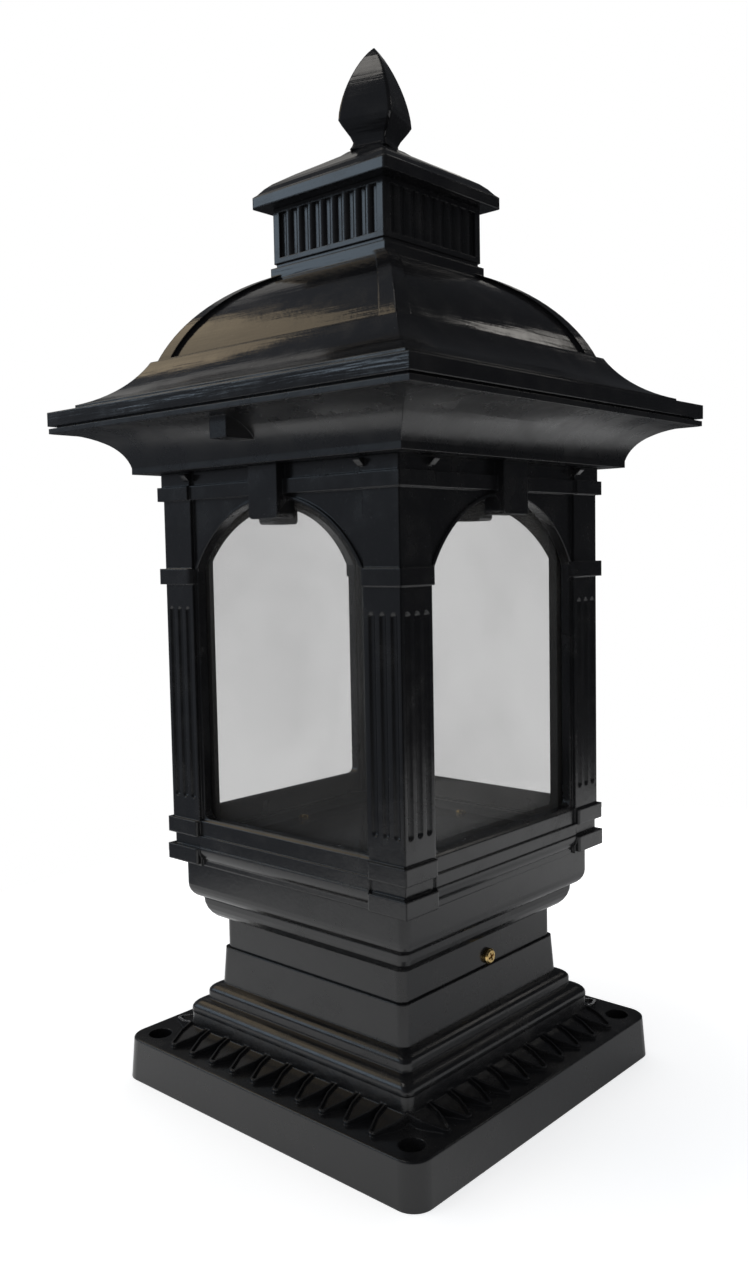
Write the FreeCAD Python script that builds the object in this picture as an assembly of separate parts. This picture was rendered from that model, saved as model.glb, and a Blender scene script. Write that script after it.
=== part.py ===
import FreeCAD, Part
import math
import os

# Square post top lantern, millimetres, +Z up. The origin is on the axis of the
# lantern at the underside of its mounting plate. The side that carries the small
# lug under the eaves faces -Y.

V = FreeCAD.Vector
AXIS = V(0, 0, 1)
CENTRE = V(0, 0, 0)

# ---------------------------------------------------------------- heights
plate_height = 22.4
foot_height = 12.4
foot_lip_height = 2.0
foot_ovolo_height = 4.9
foot_bead_height = 4.4
foot_round_height = 4.2
base_neck_height = 20.2
gallery_neck_height = 16.5
gallery_swell_height = 12.0
gallery_ovolo_height = 8.0
gallery_band_height = 13.0
frame_height = 209.3
eaves_height = 24.7
eaves_gap = 1.2
fascia_height = 7.3
flare_height = 25.8
dome_height = 43.9
collar_height = 4.2
cupola_foot_height = 2.4
cupola_height = 28.5
cap_band_height = 5.7
cap_rise = 23.5
finial_height = 53.5

z_foot = plate_height + foot_height
z_foot_lip = z_foot + foot_lip_height
z_foot_ovolo = z_foot_lip + foot_ovolo_height
z_foot_bead = z_foot_ovolo + foot_bead_height
z_base_neck = z_foot_bead + foot_round_height
z_parting = z_base_neck + base_neck_height
z_gallery_neck = z_parting + gallery_neck_height
z_gallery_swell = z_gallery_neck + gallery_swell_height
z_gallery_ovolo = z_gallery_swell + gallery_ovolo_height
z_deck = z_gallery_ovolo + gallery_band_height
z_frame_top = z_deck + frame_height
z_eaves = z_frame_top + eaves_height
z_fascia = z_eaves + eaves_gap
z_ledge = z_fascia + fascia_height
z_dome = z_ledge + flare_height
z_collar = z_dome + dome_height
z_roof_top = z_collar + collar_height
z_cupola_foot = z_roof_top + cupola_foot_height
z_cupola_top = z_cupola_foot + cupola_height
z_cap_band = z_cupola_top + cap_band_height
z_cap_top = z_cap_band + cap_rise
z_tip = z_cap_top + finial_height

# ---------------------------------------------------------------- fits
slip = 0.3            # loose fit between castings
running = 0.05        # radial clearance of screws and threads
glass_play = 0.1      # clip to gasket
mitre_gap = 0.07      # half the joint between two side frames

# ---------------------------------------------------------------- base casting
plate_half = 105.0
plate_draft = 1.3
plate_corner = 10.5
plate_edge = 1.0
mount_spacing = 181.0
mount_hole_r = 6.25
mount_boss_r = 11.0
plate_wall = 9.0
plate_skin = 4.9
body_corner = 4.5
foot_half = 79.3
foot_taper = 0.6
foot_fillet = 4.5
foot_lip = 0.4
foot_ovolo = 5.3
foot_bead_step = 1.4
foot_round = 5.9
moulding_slack = 1.4
neck_taper = 1.2
tongue_count = 10
tongue_pitch = 15.93
tongue_reach = 18.0
tongue_tip = 5.4
tongue_rim = 1.3
tongue_dish = 1.2
tongue_root_rise = 6.4
tongue_tip_rise = 1.5
foot_wall = 7.3
neck_wall = 8.5
spigot_rise = 20.5
spigot_wall = 4.0
bridge_width = 36.0
bridge_thick = 4.0
bridge_drop = 10.5

# ---------------------------------------------------------------- gallery casting
gallery_neck_half = 64.0
gallery_wall = 4.2
gallery_swell = 9.3
gallery_step = 0.5
gallery_top_half = 79.2
deck_thick = 6.0
deck_opening_half = 45.0
gallery_skirt_wall = 7.2

# ---------------------------------------------------------------- side frames
stile_face = 80.7
stile_thick = 4.95
pilaster_proud = 2.0
pilaster_inner = 60.8
window_half = 58.5
window_corner = 4.0
sill_height = 26.0
arch_radius = 66.0
crown_drop = 16.3
bead_width = 1.6
bead_proud = 1.2
flute_count = 3
flute_pitch = 6.65
flute_width = 4.0
flute_depth = 1.3
flute_end = 11.6
band_proud = 4.3
band_radius = 3.5
capital_below = 6.9
capital_above = 1.4
plinth_low = (1.3, 9.6)
plinth_high = (16.2, 24.4)
plinth_proud = 4.0
rail_proud = 2.2
rail_step = 1.3
cornice_height = 7.3
cornice_proud = 2.9
cornice_break = 1.5
frieze_height = 7.3
frieze_proud = 1.1
frieze_break = 1.7
keystone_half = 10.1
keystone_drop = 26.3
keystone_proud = 6.7
keystone_corner = 2.5
nub_half = 2.0
nub_height = 3.5
nub_proud = 4.0
nub_drop = 1.3
flange_depth = 10.75
flange_thick = 6.4
tab_half = 8.0
tab_depth = 5.0

# ---------------------------------------------------------------- panes
pane_thick = 3.0
pane_half = 66.0
gasket_wall = 1.3
gasket_edge = 1.6
gasket_leg = 7.1
gasket_foot_leg = 8.0
gasket_drop = 9.7
clip_half = 5.0
clip_thick = 1.2
clip_offset = 45.0
clip_height = 13.0
clip_boss_half = 7.0
floor_plate_thick = 3.0

# ---------------------------------------------------------------- screws
m3_r = 1.5
m3_head_r = 2.8
m3_head = 2.0
m4_r = 2.0
m4_head_r = 4.0
m4_head = 2.6
neck_screw_z = 4.8
neck_screw_side = 4.0

# ---------------------------------------------------------------- eaves ring
eaves_half = 124.6
fascia_proud = 0.4
eaves_lip = 2.7
cove_foot_half = 94.3
cove_foot = 3.4
cove_wall = 4.0
ring_opening_half = 70.0
ring_web = 106.0
upstand_wall = 3.0
upstand_rise = 4.0
lug_width = 11.5
lug_offset = 0.75
lug_back = 27.6
lug_front = 9.6
lug_drop = 14.0

# ---------------------------------------------------------------- roof
fascia_half = eaves_half + fascia_proud
fascia_wall = 3.2
ledge_width = 9.5
ledge_rise = 1.8
roof_step = 2.0
flare_set_back = 10.5
flare_foot_half = fascia_half - flare_set_back
flare_head_half = 86.0
flare_sag = 3.6
dome_foot_half = 83.5
dome_sag = 6.3
roof_wall = 4.1
panel_depth = 1.7
hip_band_foot = 10.5
hip_band_head = 8.0
panel_foot = 1.0
collar_half = 40.2
roof_boss_rise = 3.0

# ---------------------------------------------------------------- cupola, cap, finial
cupola_foot_half = 38.3
cupola_half = 39.2
cupola_corner = 1.2
cupola_wall = 4.2
cupola_top_thick = 3.0
rib_count = 8
rib_pitch = 8.0
rib_half = 2.8
rib_depth = 2.0
field_half = 34.2
field_margin = 2.7
cap_half = 47.0
cap_seat_half = 11.5
cap_corner = 2.0
cap_hollow_half = 34.0
cap_hollow = 7.0
finial_foot_half = 10.6
finial_waist_half = 9.3
finial_bulge_half = 15.15
finial_turned = 18.0
finial_foot_edge = 0.5
finial_waist_z = 4.1
finial_bulge_z = 14.5
thread_r = 5.0
thread_engaged = 10.0
bore_slip = 0.3
washer_r = 7.5
washer_thick = 1.5
finial_sink = 1.6

# ---------------------------------------------------------------- lamp parts
tie_bore_r = 3.5
strap_width = 20.0
strap_thick = 2.5
strap_top = 69.1
strap_flat_half = 30.0
strap_foot_in = 72.0
strap_foot_out = 88.0
ring_screw_at = 81.0
nut_r = 7.8
nut_thick = 3.4
holder_r = 20.5
holder_wall = 2.0
holder_cap_height = 18.0
holder_skirt_height = 36.0
holder_neck_r = 9.0
core_r = 17.4
core_height = 12.0
core_top_r = 12.0
core_top_height = 5.0
shell_r = 13.9
shell_wall = 0.7
shell_height = 22.0
terminal_size = 5.0
terminal_apart = 4.0

# ---------------------------------------------------------------- wiring
wireway_at = 60.0
wireway_r = 4.5
wireway_bore = 3.5
wireway_top = 8.7
wireway_foot = 14.0
wireway_collar_r = 7.0
wireway_collar = 2.6
bush_thick = 1.2
bush_height = 4.0
wire_r = 0.9
wire_spread = 2.2
block_length = 30.0
block_width = 18.0
block_height = 14.0
block_pitch = 7.0
block_bore = 2.0
earth_screw_at = 19.0


# ================================================================ helpers
def quarter_turned(x, y, turns):
    """Point turned by whole quarter turns about the axis."""
    for _ in range(turns % 4):
        x, y = -y, x
    return x, y


def rounded_square(half, radius, z):
    """Closed wire of a square with round corners, level at height z."""
    flat = half - radius
    inset = half - radius * (1 - math.sqrt(0.5))
    edges = []
    for turns in range(4):
        a = V(*quarter_turned(half, -flat, turns), z)
        b = V(*quarter_turned(half, flat, turns), z)
        m = V(*quarter_turned(inset, inset, turns), z)
        c = V(*quarter_turned(flat, half, turns), z)
        edges.append(Part.LineSegment(a, b).toShape())
        edges.append(Part.Arc(b, m, c).toShape())
    return Part.Wire(edges)


def stack(levels, radius):
    """Solid through level rounded squares (half width, height), straight between."""
    wires = [rounded_square(half, radius, z) for half, z in levels]
    return Part.makeLoft(wires, True, True)


def block(half, radius, low, high):
    return stack([(half, low), (half, high)], radius)


def level_first(start, end, steps=6):
    """Quarter ellipse that leaves start level and reaches end upright."""
    pairs = []
    for i in range(steps + 1):
        a = math.pi / 2 * i / steps
        w = start[0] + (end[0] - start[0]) * math.sin(a)
        pairs.append((w, end[1] - (end[1] - start[1]) * math.cos(a)))
    return pairs


def upright_first(start, end, steps=6, fullness=1.0):
    """Quarter ellipse that leaves start upright and reaches end level; slacker above 1."""
    pairs = []
    for i in range(steps + 1):
        a = math.pi / 2 * i / steps
        w = end[0] + (start[0] - end[0]) * max(math.cos(a), 0.0) ** fullness
        pairs.append((w, start[1] + (end[1] - start[1]) * math.sin(a)))
    return pairs


def box(x0, x1, y0, y1, z0, z1):
    return Part.makeBox(x1 - x0, y1 - y0, z1 - z0, V(x0, y0, z0))


def slab(u0, u1, t0, t1, z0, z1):
    """Box on the -Y side: u along the face, t outwards from the axis."""
    return box(u0, u1, -t1, -t0, z0, z1)


def fused(shapes):
    shapes = list(shapes)
    return shapes[0].multiFuse(shapes[1:]).removeSplitter()


def turned(shape, turns):
    """Copy turned by quarter turns: -Y to +X, +Y and -X."""
    copy = shape.copy()
    copy.rotate(CENTRE, AXIS, 90 * turns)
    return copy


def on_four_sides(shape):
    return [turned(shape, turns) for turns in range(4)]


def mirrored_pair(shape):
    return [shape, shape.mirror(CENTRE, V(1, 0, 0))]


def cylinder(radius, low, high, x=0.0, y=0.0):
    return Part.makeCylinder(radius, high - low, V(x, y, low), AXIS)


def along(radius, start, direction, length):
    return Part.makeCylinder(radius, length, start, direction)


def sagged(start, end, sag):
    """Middle of the arc from start to end that bows by sag to its right."""
    dt = end[0] - start[0]
    dz = end[1] - start[1]
    span = math.hypot(dt, dz)
    return ((start[0] + end[0]) / 2 + sag * dz / span,
            (start[1] + end[1]) / 2 - sag * dt / span)


def path_edges(path, place):
    """Edges of a path of (t, z) points; a third value is a middle point of an arc."""
    edges = []
    for before, after in zip(path, path[1:]):
        a = place(*before[:2])
        b = place(*after[:2])
        if len(after) == 3:
            edges.append(Part.Arc(a, place(*after[2]), b).toShape())
        else:
            edges.append(Part.LineSegment(a, b).toShape())
    return edges


def closed_face(path, place):
    path = list(path)
    if math.dist(path[0][:2], path[-1][:2]) > 0.001:
        path.append(path[0][:2])
    return Part.Face(Part.Wire(path_edges(path, place)))


def symmetric(path):
    """Right-hand path from bottom to top, closed by its mirror image."""
    left = []
    for i in range(len(path) - 1, -1, -1):
        if path[i][0] == 0 and i == len(path) - 1:
            continue
        here = (-path[i][0], path[i][1])
        if i + 1 < len(path) and len(path[i + 1]) == 3:
            mid = path[i + 1][2]
            here = here + ((-mid[0], mid[1]),)
        left.append(here)
    return list(path) + left


def mitred(path):
    """Four-sided solid with sharp mitred corners and the given side outline."""
    reach = 2 * max(point[0] for point in path)
    face = closed_face(symmetric(path), lambda t, z: V(t, -reach, z))
    bar = face.extrude(V(0, 2 * reach, 0))
    return bar.common(turned(bar, 1)).removeSplitter()


def extruded_u(path, u0, u1):
    """Outline in (t, z) drawn out along the -Y face from u0 to u1."""
    face = closed_face(path, lambda t, z: V(u0, -t, z))
    return face.extrude(V(u1 - u0, 0, 0))


def extruded_t(path, t0, t1):
    """Outline in (u, z) drawn out from t0 to t1 on the -Y side."""
    face = closed_face(path, lambda u, z: V(u, -t0, z))
    return face.extrude(V(0, -(t1 - t0), 0))


def pan_screw(radius, head_r, head, length, recess):
    """Pan-head screw, head on top, the head's seat at the origin."""
    edge = head * 0.35
    crown = Part.makeCylinder(head_r, head - edge)
    crown = crown.fuse(Part.makeCone(head_r, head_r * 0.78, edge, V(0, 0, head - edge)))
    shank = Part.makeCylinder(radius, length, V(0, 0, -length))
    body = crown.fuse(shank).removeSplitter()
    arm = head_r * 0.55
    slot = head_r * 0.13
    cross = box(-arm, arm, -slot, slot, head - recess, head + 1)
    cross = cross.fuse(box(-slot, slot, -arm, arm, head - recess, head + 1))
    return body.cut(cross)


def hexagon(radius, low, high, x=0.0, y=0.0):
    ring = [V(x + radius * math.cos(math.radians(60 * i)),
              y + radius * math.sin(math.radians(60 * i)), low) for i in range(7)]
    return Part.Face(Part.makePolygon(ring)).extrude(V(0, 0, high - low))


def routed(points, radius):
    """Round wire along straight runs joined by arcs as large as the runs allow."""
    points = [V(*p) for p in points]
    edges = []
    here = points[0]
    for before, corner, after in zip(points, points[1:], points[2:]):
        back = (before - corner).normalize()
        ahead = (after - corner).normalize()
        reach = 0.45 * min((before - corner).Length, (after - corner).Length)
        half_turn = (math.pi - back.getAngle(ahead)) / 2
        bend = reach / math.tan(half_turn)
        start = corner + back * reach
        end = corner + ahead * reach
        inward = (back + ahead).normalize()
        middle = corner + inward * (math.hypot(reach, bend) - bend)
        edges.append(Part.LineSegment(here, start).toShape())
        edges.append(Part.Arc(start, middle, end).toShape())
        here = end
    edges.append(Part.LineSegment(here, points[-1]).toShape())
    path = Part.Wire(edges)
    direction = (points[1] - points[0]).normalize()
    profile = Part.Wire(Part.Circle(points[0], direction, radius).toShape())
    solid = path.makePipeShell([profile], True, False)
    print("wire %.0f mm, volume ratio %.4f" % (
        path.Length, solid.Volume / (math.pi * radius ** 2 * path.Length)))
    return solid


nodes = {}

# ================================================================ base casting
mount_at = mount_spacing / 2
z_plate = plate_height
foot_top_half = foot_half - foot_taper
ovolo_half = foot_top_half + foot_lip - foot_ovolo
bead_half = ovolo_half - foot_bead_step
base_neck_half = bead_half - foot_round
plate_top_half = plate_half - plate_draft
plate = stack([(plate_half, 0), (plate_top_half, z_plate - plate_edge)]
              + upright_first((plate_top_half, z_plate - plate_edge),
                              (plate_top_half - plate_edge, z_plate), 3)[1:], plate_corner)
foot_levels = (
    level_first((foot_half + foot_fillet, z_plate - 0.01), (foot_half, z_plate + foot_fillet))
    + [(foot_top_half, z_foot), (foot_top_half + foot_lip, z_foot + foot_lip),
       (foot_top_half + foot_lip, z_foot_lip)]
    + upright_first((foot_top_half + foot_lip, z_foot_lip), (ovolo_half, z_foot_ovolo),
                    6, moulding_slack)[1:]
    + [(bead_half, z_foot_ovolo + foot_lip), (bead_half, z_foot_bead)]
    + upright_first((bead_half, z_foot_bead), (base_neck_half, z_base_neck),
                    6, moulding_slack)[1:]
    + [(base_neck_half - neck_taper, z_parting)])
foot = stack(foot_levels, body_corner)

spigot_half = gallery_neck_half - gallery_wall - slip
spigot_inner = spigot_half - spigot_wall
spigot_corner = 3.0
z_spigot = z_parting + spigot_rise
spigot = block(spigot_half, spigot_corner, z_parting - 1, z_spigot)

# One tongue of the leaf border: a tapered petal with a round tip, its top sloping
# down from the foot to the plate, dished inside a narrow raised rim.
tongue_root = foot_half - 1.5
tongue_end = foot_half + tongue_reach


def petal_outline(inset):
    half_root = tongue_pitch / 2 - inset - 0.2
    half_tip = tongue_tip / 2 - inset
    neck = tongue_end - tongue_tip / 2
    return [(-half_root, tongue_root), (half_root, tongue_root),
            (half_root * 0.82, tongue_root + tongue_reach * 0.45), (half_tip, neck),
            (-half_tip, neck, (0, neck + half_tip)),
            (-half_root * 0.82, tongue_root + tongue_reach * 0.45)]


def petal_prism(inset, low, high):
    face = closed_face(petal_outline(inset), lambda u, t: V(u, -t, low))
    return face.extrude(V(0, 0, high - low))


def petal_slope(drop):
    """Everything under the tongue's sloping top, lowered by drop."""
    low = z_plate - 2
    return extruded_u([(tongue_root - 1, low), (tongue_end + 1, low),
                       (tongue_end + 1, z_plate + tongue_tip_rise - drop),
                       (tongue_root - 1, z_plate + tongue_root_rise - drop)],
                      -tongue_pitch, tongue_pitch)


tongue = petal_prism(0, z_plate - 1, z_plate + 20).common(petal_slope(0))
dish = petal_prism(tongue_rim, z_plate + 0.2, z_plate + 20).cut(petal_slope(tongue_dish))
tongue = tongue.cut(dish)
tongues = []
for i in range(tongue_count):
    copy = tongue.copy()
    copy.translate(V((i - (tongue_count - 1) / 2) * tongue_pitch, 0, 0))
    tongues.extend(on_four_sides(copy))
base = fused([plate, foot, spigot] + tongues)

cavity = block(plate_half - plate_wall, plate_corner - 4, -1, z_plate - plate_skin)
bosses = [cylinder(mount_boss_r, -2, z_plate, sx * mount_at, sy * mount_at)
          for sx in (-1, 1) for sy in (-1, 1)]
cavity = cavity.cut(bosses[0].multiFuse(bosses[1:]))
foot_inner = foot_half - foot_wall
neck_cavity = stack([(foot_inner, z_plate - plate_skin - 1), (foot_inner, z_foot - 5),
                     (base_neck_half - neck_wall, z_base_neck - 1),
                     (spigot_inner, z_base_neck + 8), (spigot_inner, z_spigot + 1)], 3.0)
mount_holes = [cylinder(mount_hole_r, -1, z_plate + 1, sx * mount_at, sy * mount_at)
               for sx in (-1, 1) for sy in (-1, 1)]
z_bridge = z_parting - bridge_drop
bridge = box(-spigot_inner - 2, spigot_inner + 2, -bridge_width / 2, bridge_width / 2,
             z_bridge - bridge_thick, z_bridge)
base = base.cut(fused([cavity, neck_cavity])).fuse(bridge)
base = base.cut(mount_holes[0].multiFuse(mount_holes[1:])).removeSplitter()

z_neck_screw = z_parting + neck_screw_z
neck_places = [(V(gallery_neck_half, neck_screw_side, z_neck_screw), V(1, 0, 0)),
               (V(-gallery_neck_half, -neck_screw_side, z_neck_screw), V(-1, 0, 0))]
neck_screw_length = gallery_neck_half - spigot_inner + 1.5
for place, out in neck_places:
    base = base.cut(along(m4_r, place, out * -1, neck_screw_length + 4))
block_screw_at = block_length / 2 - 3.5
diagonal = V(-math.sqrt(0.5), math.sqrt(0.5), 0)
lateral = V(math.sqrt(0.5), math.sqrt(0.5), 0)
block_screw_places = [lateral * block_screw_at, lateral * -block_screw_at]
for place in block_screw_places:
    base = base.cut(cylinder(m3_r, z_bridge - bridge_thick - 1, z_bridge + 1, place.x, place.y))
nodes["base_casting"] = base

# ================================================================ gallery casting
gallery_inner = gallery_neck_half - gallery_wall
swell_half = gallery_neck_half + gallery_swell
gallery_levels = (
    [(gallery_neck_half, z_parting), (gallery_neck_half, z_gallery_neck)]
    + level_first((gallery_neck_half + 0.3, z_gallery_neck + 0.1), (swell_half, z_gallery_swell))
    + [(swell_half - gallery_step, z_gallery_swell + 0.5)]
    + level_first((swell_half, z_gallery_swell + 0.6), (gallery_top_half, z_gallery_ovolo))[1:]
    + [(gallery_top_half, z_deck)])
gallery = stack(gallery_levels, body_corner)
skirt_inner = gallery_top_half - gallery_skirt_wall
gallery = gallery.cut(stack([(gallery_inner, z_parting - 1), (gallery_inner, z_spigot - 1.5),
                             (skirt_inner, z_gallery_ovolo), (skirt_inner, z_deck - deck_thick)], 3.0))
gallery = gallery.cut(block(deck_opening_half, 6, z_deck - deck_thick - 1, z_deck + 1))
gallery = gallery.cut(cylinder(wireway_r + 0.1, z_gallery_swell, z_deck + 1,
                               -wireway_at, wireway_at))
floor_screw_at = stile_face - stile_thick - flange_depth + 1.0
z_floor = z_deck + flange_thick
z_floor_top = z_floor + floor_plate_thick
for turns in range(4):
    x, y = quarter_turned(0, -floor_screw_at, turns)
    gallery = gallery.cut(cylinder(m3_r, z_deck - deck_thick - 1, z_deck + 1, x, y))
for place, out in neck_places:
    gallery = gallery.cut(along(m4_r + running, place + out, out * -1, gallery_wall + 3))
nodes["gallery_casting"] = gallery

# ================================================================ side frames
frame_back = stile_face - stile_thick
pilaster_face = stile_face + pilaster_proud
band_face = stile_face + band_proud
z_sill = z_deck + sill_height
z_arch = z_frame_top - crown_drop - arch_radius
z_spring = z_arch + math.sqrt(arch_radius ** 2 - window_half ** 2)
z_cornice = z_frame_top - frieze_height - cornice_height
z_frieze = z_frame_top - frieze_height
z_capital = z_spring - capital_below
outer = band_face + 2


def band(inner, face, radius, low, high):
    """Band across a pilaster, its inner end rounded in plan."""
    plan = [(outer, frame_back), (outer, face), (inner + radius, face),
            (inner, face - radius, (inner + radius * (1 - math.sqrt(0.5)),
                                    face - radius * (1 - math.sqrt(0.5)))),
            (inner, frame_back)]
    face_up = closed_face(plan, lambda u, t: V(u, -t, low))
    return mirrored_pair(face_up.extrude(V(0, 0, high - low)))


def opening_outline():
    r = window_corner
    k = r * (1 - math.sqrt(0.5))
    w = window_half
    return [(-w + r, z_sill), (w - r, z_sill), (w, z_sill + r, (w - k, z_sill + k)),
            (w, z_spring), (-w, z_spring, (0, z_arch + arch_radius)),
            (-w, z_sill + r), (-w + r, z_sill, (-w + k, z_sill + k))]


opening_path = opening_outline()
opening = Part.Face(Part.Wire(path_edges(opening_path, lambda u, z: V(u, -frame_back + 1, z))))
opening = opening.extrude(V(0, -stile_thick - band_proud - 3, 0))
pieces = [slab(-outer, outer, frame_back, stile_face, z_deck, z_frame_top)]
pieces += mirrored_pair(slab(pilaster_inner, outer, frame_back, pilaster_face,
                             z_deck + plinth_high[1] - 0.5, z_frieze))
pieces += mirrored_pair(slab(pilaster_inner, outer, frame_back, stile_face + rail_step,
                             z_deck, z_deck + plinth_high[0] + 1))
pieces += band(pilaster_inner + 0.3, band_face, 1.2, z_deck + plinth_low[0], z_deck + plinth_low[1])
pieces += band(pilaster_inner + 0.3, stile_face + plinth_proud, 1.2,
               z_deck + plinth_high[0], z_deck + plinth_high[1])
pieces += band(pilaster_inner - 1.5, band_face, band_radius, z_capital, z_spring + capital_above)
pieces += mirrored_pair(slab(pilaster_inner - 0.6, outer, frame_back,
                             stile_face + cornice_proud + cornice_break, z_cornice, z_frieze))
pieces += mirrored_pair(slab(pilaster_inner - 0.6, outer, frame_back,
                             stile_face + frieze_proud + frieze_break, z_frieze, z_frame_top))
pieces.append(slab(-pilaster_inner, pilaster_inner, frame_back,
                   stile_face + cornice_proud, z_cornice, z_frieze))
pieces.append(slab(-pilaster_inner, pilaster_inner, frame_back,
                   stile_face + frieze_proud, z_frieze, z_frame_top))
rail_face = stile_face + rail_step
rail_ledge = stile_face + rail_proud
rail_foot = stile_face - 0.7
rail = [(frame_back, z_deck), (rail_foot, z_deck), (rail_foot, z_deck + 2.5)]
rail.append((rail_ledge + 0.5, z_deck + 9.8, sagged((rail_foot, z_deck + 2.5),
                                                    (rail_ledge + 0.5, z_deck + 9.8), 1.0)))
rail += [(rail_ledge + 0.5, z_deck + 10.3), (rail_ledge, z_deck + 10.3),
         (rail_ledge, z_deck + 16.6), (rail_face, z_deck + 16.6),
         (rail_face, z_sill - 1.7), (rail_face - 1.7, z_sill), (frame_back, z_sill)]
pieces.append(extruded_u(rail, -pilaster_inner - 0.2, pilaster_inner + 0.2))
arch_place = V(0, -frame_back, z_arch)
bead = Part.makeCylinder(arch_radius + bead_width, stile_thick + bead_proud, arch_place, V(0, -1, 0))
bead = bead.common(slab(-pilaster_inner, pilaster_inner, frame_back, outer,
                        z_spring + capital_above, z_cornice + 1))
pieces.append(bead)
frame = fused(pieces).cut(opening)

key_low = z_frame_top - keystone_drop
kc = keystone_corner
kk = kc * (1 - math.sqrt(0.5))
kh = keystone_half
keystone = extruded_t([(-kh + kc, key_low), (kh - kc, key_low),
                       (kh, key_low + kc, (kh - kk, key_low + kk)), (kh, z_frame_top),
                       (-kh, z_frame_top), (-kh, key_low + kc),
                       (-kh + kc, key_low, (-kh + kk, key_low + kk))],
                      frame_back, stile_face + keystone_proud)
nub_top = z_frame_top - nub_drop
nub_face = stile_face + frieze_proud + frieze_break
nub = extruded_u([(stile_face, nub_top - nub_height), (nub_face + 1.0, nub_top - nub_height),
                  (nub_face + nub_proud, nub_top - 0.8), (nub_face + nub_proud, nub_top),
                  (stile_face, nub_top)], pilaster_inner - 1.3, pilaster_inner - 1.3 + 2 * nub_half)
flange = slab(-outer, outer, frame_back - flange_depth, frame_back + 0.5, z_deck, z_floor)
flange_inner = frame_back - flange_depth
tab = slab(-tab_half, tab_half, flange_inner - tab_depth, flange_inner + 1, z_deck, z_floor)
pane_back = frame_back - gasket_wall - pane_thick
clip_seat = pane_back - gasket_wall - glass_play
clip_boss_low = z_frame_top - clip_height + 4.2
clip_bosses = mirrored_pair(slab(clip_offset - clip_boss_half, clip_offset + clip_boss_half,
                                 clip_seat, frame_back + 0.5, clip_boss_low, z_frame_top))
frame = fused([frame, keystone, flange, tab] + mirrored_pair(nub) + clip_bosses)

flute_r = (flute_width ** 2 / 4 + flute_depth ** 2) / (2 * flute_depth)
flute_t = pilaster_face - flute_depth + flute_r
flute_low = z_deck + plinth_high[1] + flute_end + flute_width / 2
flute_high = z_capital - flute_end - flute_width / 2
pilaster_middle = (pilaster_inner + pilaster_face) / 2
flutes = []
for i in range(flute_count):
    u = pilaster_middle + (i - (flute_count - 1) / 2) * flute_pitch
    capsule = [cylinder(flute_r, flute_low, flute_high, u, -flute_t),
               Part.makeSphere(flute_r, V(u, -flute_t, flute_low)),
               Part.makeSphere(flute_r, V(u, -flute_t, flute_high))]
    flutes.extend(mirrored_pair(capsule[0].multiFuse(capsule[1:])))
for flute in flutes:
    frame = frame.cut(flute)

floor_screw_hole = cylinder(m3_r + running, z_deck - 1, z_floor + 1, 0, -floor_screw_at)
ring_screw_hole = cylinder(m4_r, z_frame_top - 20, z_frame_top + 1, 0, -ring_screw_at)
z_clip_screw = z_frame_top - 4.3
clip_holes = [along(m3_r, V(s * clip_offset, -clip_seat + 1, z_clip_screw), V(0, -1, 0), 6.0)
              for s in (-1, 1)]
frame = frame.cut(fused([floor_screw_hole, ring_screw_hole] + clip_holes))
wedge_far = 2 * outer
wedge = Part.Face(Part.makePolygon([V(0, -mitre_gap, 0), V(wedge_far, -wedge_far - mitre_gap, 0),
                                    V(-wedge_far, -wedge_far - mitre_gap, 0),
                                    V(0, -mitre_gap, 0)])).extrude(V(0, 0, z_tip))
frame = frame.common(wedge).removeSplitter()

side_names = ("front", "right", "back", "left")
for turns, side in enumerate(side_names):
    nodes["frame_" + side] = turned(frame, turns)

# ================================================================ panes, gaskets, clips
gasket_half = pane_half + gasket_edge
gasket_low = z_floor + running
pane_low = gasket_low + gasket_edge
gasket_top = z_frame_top - gasket_drop
pane_top = gasket_top - gasket_edge
pane = slab(-pane_half, pane_half, pane_back, pane_back + pane_thick, pane_low, pane_top)
gasket = slab(-gasket_half, gasket_half, pane_back - gasket_wall,
              pane_back + pane_thick + gasket_wall, gasket_low, gasket_top)
sight = slab(-gasket_half + gasket_leg, gasket_half - gasket_leg, 0, outer,
             gasket_low + gasket_foot_leg, gasket_top - 5.1)
gasket = gasket.cut(sight).cut(pane)
clip_low = z_frame_top - clip_height - 2.3
clip = slab(-clip_half, clip_half, clip_seat - clip_thick, clip_seat, clip_low, z_frame_top - 2.0)
clip_tip = slab(-clip_half, clip_half, clip_seat - clip_thick - 1.2, clip_seat, clip_low, clip_low + 1.2)
clip = clip.fuse(clip_tip)
clip = clip.cut(along(m3_r + running, V(0, -clip_seat + 5, z_clip_screw), V(0, -1, 0), 9)).removeSplitter()
clip_screw = pan_screw(m3_r - running, m3_head_r, m3_head, 5.5, 0.9)
clip_screw.rotate(CENTRE, V(1, 0, 0), -90)
clip_screw.translate(V(0, -clip_seat + clip_thick, z_clip_screw))
clips = []
clip_screws = []
for sign in (-1, 1):
    for shape, group in ((clip, clips), (clip_screw, clip_screws)):
        copy = shape.copy()
        copy.translate(V(sign * clip_offset, 0, 0))
        group.extend(on_four_sides(copy))
for turns, side in enumerate(side_names):
    nodes["glass_" + side] = turned(pane, turns)
    nodes["gasket_" + side] = turned(gasket, turns)
nodes["glass_clips"] = Part.makeCompound(clips)
nodes["clip_screws"] = Part.makeCompound(clip_screws)

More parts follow.
